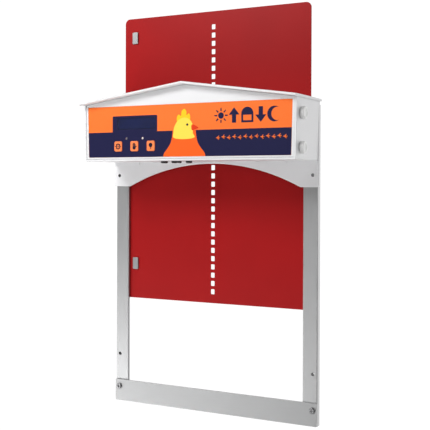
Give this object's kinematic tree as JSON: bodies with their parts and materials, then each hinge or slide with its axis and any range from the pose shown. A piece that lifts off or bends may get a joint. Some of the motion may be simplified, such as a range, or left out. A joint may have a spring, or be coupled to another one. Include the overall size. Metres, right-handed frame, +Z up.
{
  "type": "automatic coop door",
  "caption": "Wall-mounted automatic coop door: two slotted rails, a perforated sliding door and a gabled drive case with a front control panel.",
  "frame": {"origin": "centre of the four wall-screw holes, on the plane of the wall", "axes": "+X to the right as seen from outside, +Y into the wall, +Z up"},
  "size_m": [0.315, 0.0914, 0.5319],
  "materials": {
    "satin_aluminium": "satin anodised extrusion",
    "white_abs": "moulded white ABS, semi-gloss",
    "thumb_plastic": "moulded off-white plastic",
    "red_coating": "red powder coat",
    "label_print": "printed overlay, orange and navy",
    "key_plastic": "orange key caps",
    "window_tint": "tinted display window",
    "lcd_glass": "dark blue display glass",
    "led_lens": "clear lens",
    "screw_steel": "zinc-plated",
    "plated_steel": "zinc-plated sheet",
    "gearbox_zinc": "die-cast grey",
    "bronze": "sintered bronze",
    "insert_brass": "turned brass",
    "gear_nylon": "natural nylon",
    "circuit_board": "green solder mask",
    "black_plastic": "black moulded plastic",
    "dark_lens": "dark glossy lens",
    "cell_wrap": "plain cell wrap",
    "reed_glass": "clear glass tube",
    "seal_foam": "closed-cell foam",
    "magnet_nickel": "nickel-plated magnet"
  },
  "bodies": {
    "frame": {"left_rail": "satin_aluminium", "right_rail": "satin_aluminium", "bottom_bar": "satin_aluminium", "bottom_bar_screws": "screw_steel", "base_plate": "white_abs", "rail_screws": "screw_steel", "case_shell": "white_abs", "case_screws": "screw_steel", "front_panel": "white_abs", "panel_gasket": "seal_foam", "panel_label": "label_print", "display_window": "window_tint", "lcd_module": "lcd_glass", "status_leds": "led_lens", "control_board": "circuit_board", "board_components": "black_plastic", "board_screws": "screw_steel", "tact_switches": "black_plastic", "threaded_inserts": "insert_brass", "bearing_plate": "plated_steel", "motor_plate": "plated_steel", "shaft_bushes": "bronze", "gearbox": "gearbox_zinc", "motor": "plated_steel", "motor_screws": "screw_steel", "inner_screws": "screw_steel", "battery_box": "black_plastic", "battery_cells": "cell_wrap", "battery_contacts": "plated_steel", "sensor_board": "circuit_board", "reed_contact": "reed_glass", "power_socket": "black_plastic", "sensor_socket": "black_plastic", "status_lens": "dark_lens", "light_sensor": "dark_lens", "socket_nuts": "black_plastic"},
    "door": {"door_panel": "red_coating", "upper_magnet": "magnet_nickel", "lower_magnet": "magnet_nickel"},
    "cross_shaft": {"drive_shaft": "screw_steel", "retaining_ring": "screw_steel", "door_pinion": "gear_nylon", "drive_gear": "gear_nylon"},
    "motor_output": {"output_shaft": "screw_steel", "motor_gear": "gear_nylon"},
    "settings_key": {"settings_button": "key_plastic"},
    "manual_key": {"manual_button": "key_plastic"},
    "light_key": {"light_button": "key_plastic"},
    "thumb_screw_left_upper": {"thumb_screw_left_upper": "thumb_plastic"},
    "thumb_screw_left_lower": {"thumb_screw_left_lower": "thumb_plastic"},
    "thumb_screw_right_upper": {"thumb_screw_right_upper": "thumb_plastic"},
    "thumb_screw_right_lower": {"thumb_screw_right_lower": "thumb_plastic"}
  },
  "joints": [
    {"name": "door_lift", "type": "slide", "parent": "frame", "child": "door", "axis": [0, 0, 1], "range_m": [-0.1297, 0.1827]},
    {"name": "cross_shaft_turn", "type": "hinge", "parent": "frame", "child": "cross_shaft", "pos_m": [0, -0.021, 0.16782], "axis": [1, 0, 0], "range_deg": [-430, 605]},
    {"name": "motor_output_turn", "type": "hinge", "parent": "frame", "child": "motor_output", "pos_m": [0.015, -0.0354, 0.16782], "axis": [1, 0, 0], "range_deg": [-945, 672]},
    {"name": "settings_press", "type": "slide", "parent": "frame", "child": "settings_key", "axis": [0, 1, 0], "range_m": [0, 0.0008], "stiffness_N_per_m": 900, "springref_m": -0.0004},
    {"name": "manual_press", "type": "slide", "parent": "frame", "child": "manual_key", "axis": [0, 1, 0], "range_m": [0, 0.0008], "stiffness_N_per_m": 900, "springref_m": -0.0004},
    {"name": "light_press", "type": "slide", "parent": "frame", "child": "light_key", "axis": [0, 1, 0], "range_m": [0, 0.0008], "stiffness_N_per_m": 900, "springref_m": -0.0004},
    {"name": "thumb_screw_left_upper_turn", "type": "hinge", "parent": "frame", "child": "thumb_screw_left_upper", "pos_m": [-0.15164, -0.068, 0.1977], "axis": [-1, 0, 0], "range_deg": [0, 1080]},
    {"name": "thumb_screw_left_lower_turn", "type": "hinge", "parent": "frame", "child": "thumb_screw_left_lower", "pos_m": [-0.15094, -0.068, 0.1567], "axis": [-1, 0, 0], "range_deg": [0, 1080]},
    {"name": "thumb_screw_right_upper_turn", "type": "hinge", "parent": "frame", "child": "thumb_screw_right_upper", "pos_m": [0.15164, -0.068, 0.1977], "axis": [1, 0, 0], "range_deg": [0, 1080]},
    {"name": "thumb_screw_right_lower_turn", "type": "hinge", "parent": "frame", "child": "thumb_screw_right_lower", "pos_m": [0.15094, -0.068, 0.1567], "axis": [1, 0, 0], "range_deg": [0, 1080]}
  ],
  "couplings": [
    {"joint": "cross_shaft_turn", "follows": "door_lift", "rad_per_m": 57.143},
    {"joint": "motor_output_turn", "follows": "door_lift", "rad_per_m": -89.796}
  ]
}
